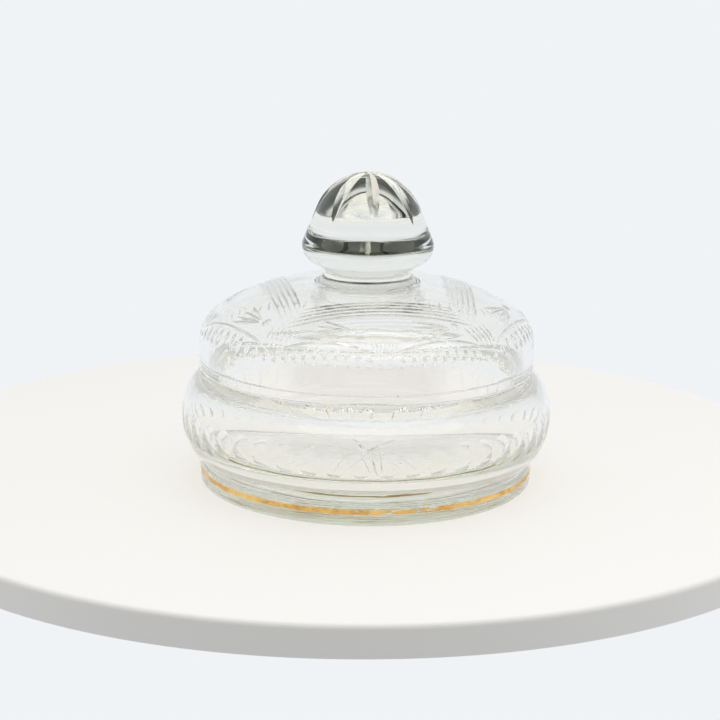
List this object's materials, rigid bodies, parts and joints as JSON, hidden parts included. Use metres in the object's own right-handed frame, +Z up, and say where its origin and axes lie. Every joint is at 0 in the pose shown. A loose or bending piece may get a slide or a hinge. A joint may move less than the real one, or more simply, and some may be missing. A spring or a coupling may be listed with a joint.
{
  "type": "candy box",
  "caption": "Round cut-glass candy box: low bulging bowl on a gilt-edged foot, with a loose domed lid and a mushroom knob.",
  "frame": {"origin": "centre of the face that the box stands on", "axes": "+Z up along the axis of the bowl and lid, -Y towards the front of the picture"},
  "size_m": [0.15, 0.15, 0.1253],
  "materials": {
    "bowl_glass": "clear, polished, with a faint grey-green tone in the thick parts",
    "lid_glass": "clear, polished, with bright cuts",
    "gilding": "fired gold line, slightly worn"
  },
  "bodies": {
    "bowl": {"foot_disc": "bowl_glass", "gilt_band": "gilding", "bowl": "bowl_glass"},
    "lid": {"lid_shell": "lid_glass", "knob_neck": "lid_glass", "knob": "lid_glass"}
  },
  "joints": [
    {"name": "lid_lift", "type": "slide", "parent": "bowl", "child": "lid", "axis": [0, 0, 1], "range_m": [0, 0.08]}
  ]
}
